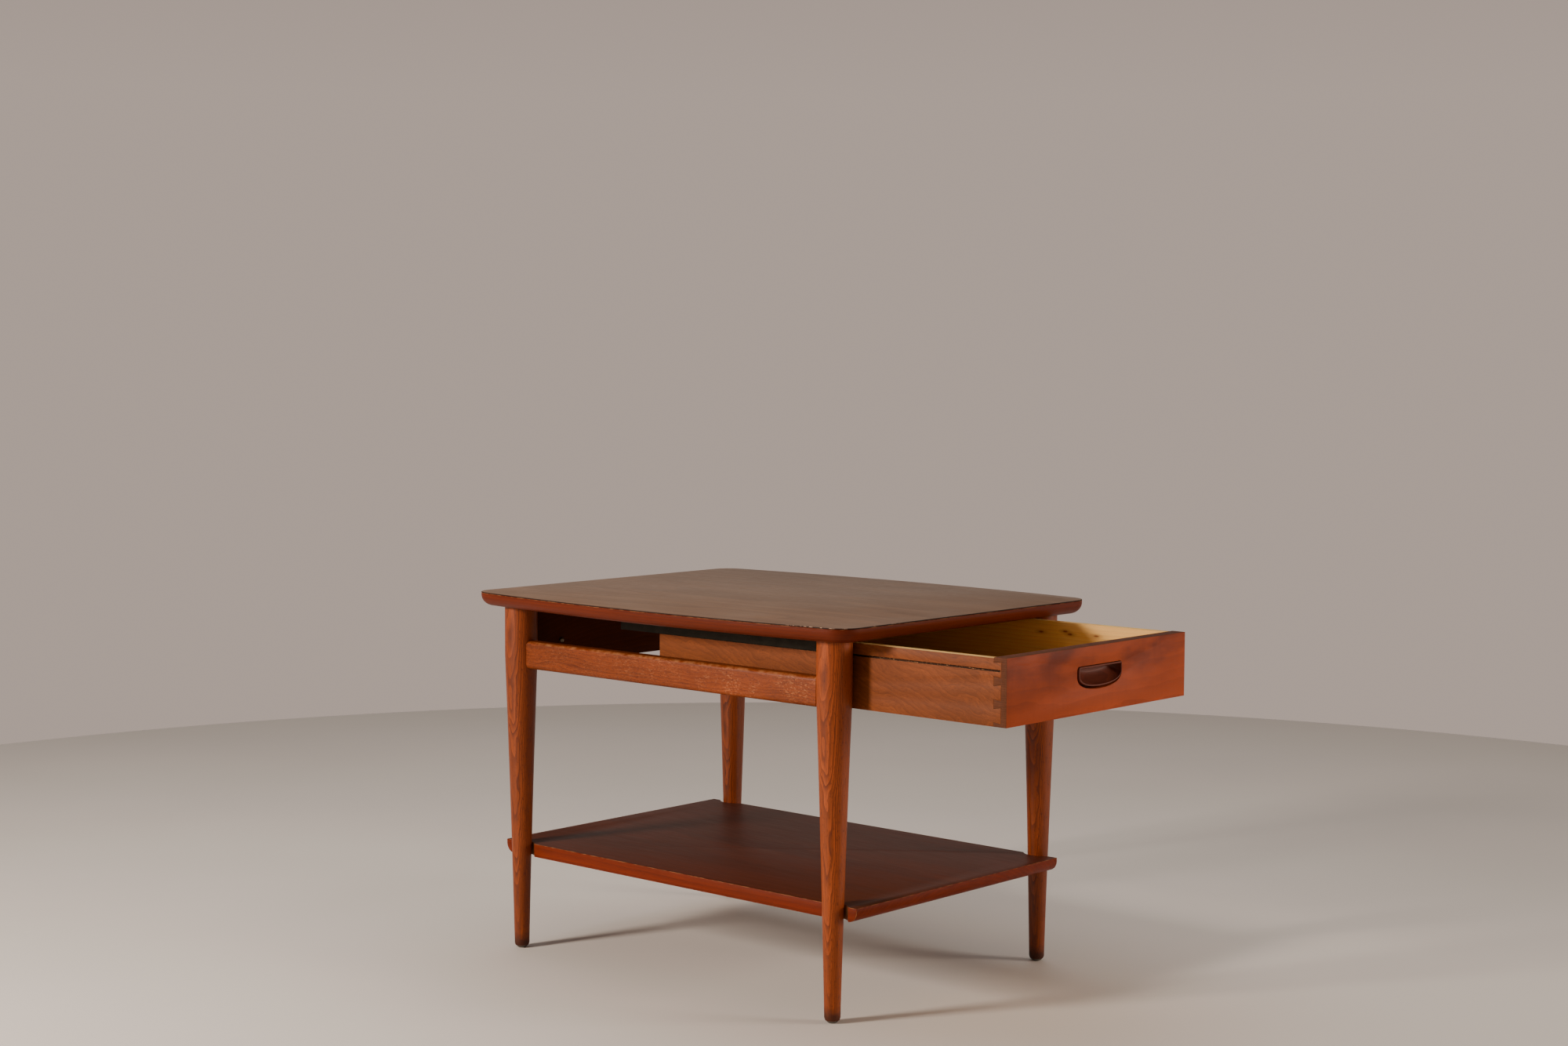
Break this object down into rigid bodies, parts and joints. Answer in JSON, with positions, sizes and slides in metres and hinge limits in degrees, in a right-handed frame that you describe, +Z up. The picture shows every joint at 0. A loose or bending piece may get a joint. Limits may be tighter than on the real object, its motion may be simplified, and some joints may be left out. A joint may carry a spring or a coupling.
{
  "type": "side table with drawer",
  "caption": "Oblong side table on tapered round legs with a lower shelf and one dovetailed drawer that slides out under the short edge on hanging steel runners.",
  "frame": {"origin": "on the floor, under the middle of the table with its drawer standing part way open", "axes": "+Z up; the drawer opens towards -Y; +X is to the right of someone facing the drawer front"},
  "size_m": [0.58, 0.9068, 0.52],
  "materials": {
    "laminate": "satin wood-grain laminate",
    "edge_wood": "stained and lacquered",
    "stained_wood": "stained and lacquered",
    "shelf_wood": "dark stained, satin",
    "drawer_front_wood": "red-brown stain, satin",
    "drawer_side_wood": "thin brown stain outside, bare inside",
    "drawer_inside_wood": "bare pale wood",
    "hidden_wood": "bare pale wood",
    "pull_wood": "dark walnut stain, satin",
    "runner_steel": "dulled zinc",
    "screw_steel": "worn zinc",
    "glide_steel": "tarnished"
  },
  "bodies": {
    "table": {"top_board": "edge_wood", "top_laminate": "laminate", "leg_front_left": "stained_wood", "leg_front_right": "stained_wood", "leg_rear_left": "stained_wood", "leg_rear_right": "stained_wood", "glide_front_left": "glide_steel", "glide_front_right": "glide_steel", "glide_rear_left": "glide_steel", "glide_rear_right": "glide_steel", "side_rail_left": "stained_wood", "side_rail_right": "stained_wood", "rear_apron": "stained_wood", "shelf_board": "shelf_wood", "shelf_dowel_front_left": "hidden_wood", "shelf_dowel_front_right": "hidden_wood", "shelf_dowel_rear_left": "hidden_wood", "shelf_dowel_rear_right": "hidden_wood", "runner_left": "runner_steel", "runner_right": "runner_steel", "stop_cleat": "hidden_wood", "runner_screw_left_1": "screw_steel", "runner_screw_left_2": "screw_steel", "runner_screw_left_3": "screw_steel", "runner_screw_right_1": "screw_steel", "runner_screw_right_2": "screw_steel", "runner_screw_right_3": "screw_steel", "cleat_screw_1": "screw_steel", "cleat_screw_2": "screw_steel", "closing_stop_left": "screw_steel", "closing_stop_right": "screw_steel"},
    "drawer": {"drawer_front": "drawer_front_wood", "drawer_side_left": "drawer_side_wood", "drawer_side_right": "drawer_side_wood", "drawer_back": "drawer_inside_wood", "drawer_bottom": "drawer_inside_wood", "drawer_pull": "pull_wood", "pull_screw_1": "screw_steel", "pull_screw_2": "screw_steel"}
  },
  "joints": [
    {"name": "drawer_slide", "type": "slide", "parent": "table", "child": "drawer", "axis": [0, -1, 0], "range_m": [-0.24, 0.16]}
  ]
}
